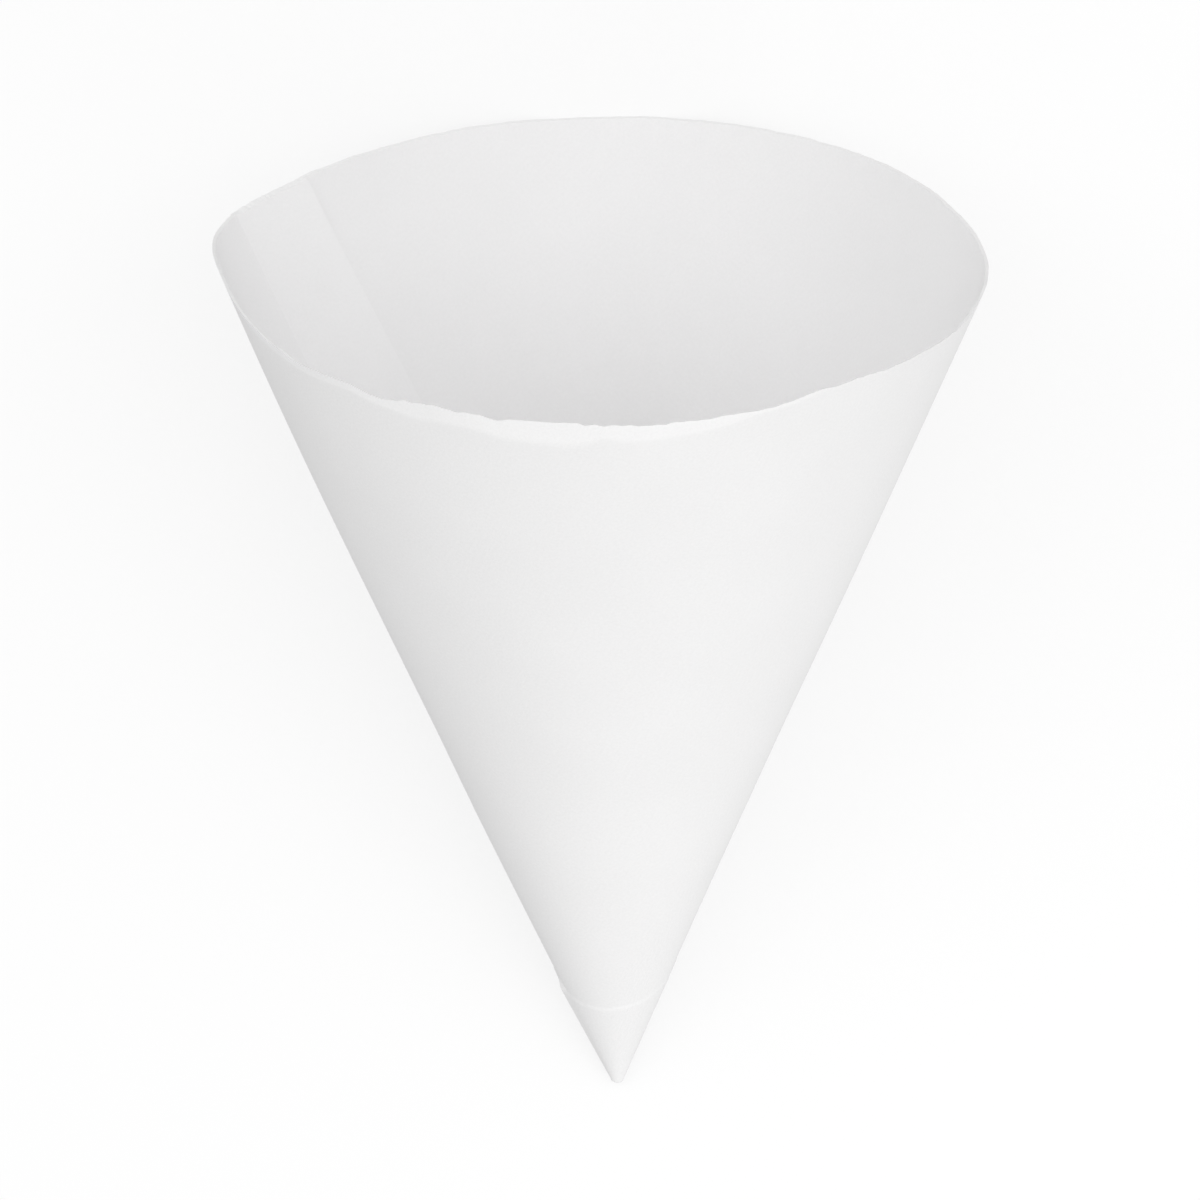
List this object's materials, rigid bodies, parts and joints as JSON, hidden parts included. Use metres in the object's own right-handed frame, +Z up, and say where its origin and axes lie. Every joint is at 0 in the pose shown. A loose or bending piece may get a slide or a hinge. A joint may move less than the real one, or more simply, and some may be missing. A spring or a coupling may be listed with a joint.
{
  "type": "cone paper cup",
  "caption": "White paper cup wound from one sheet into a pointed cone, with a glued lap, a wrapped tip and a plain cut rim, lying on its side.",
  "frame": {"origin": "centre of the footprint's bounding box, on the floor under the lying cup", "axes": "+Y along the line on which the cup lies, from the tip towards the mouth; +Z up; +X to the right seen from above with the mouth away from the viewer"},
  "size_m": [0.0732, 0.0966, 0.0673],
  "materials": {
    "white_paper": "matte uncoated white paper"
  },
  "bodies": {
    "root": {"paper_cone": "white_paper"}
  },
  "joints": []
}
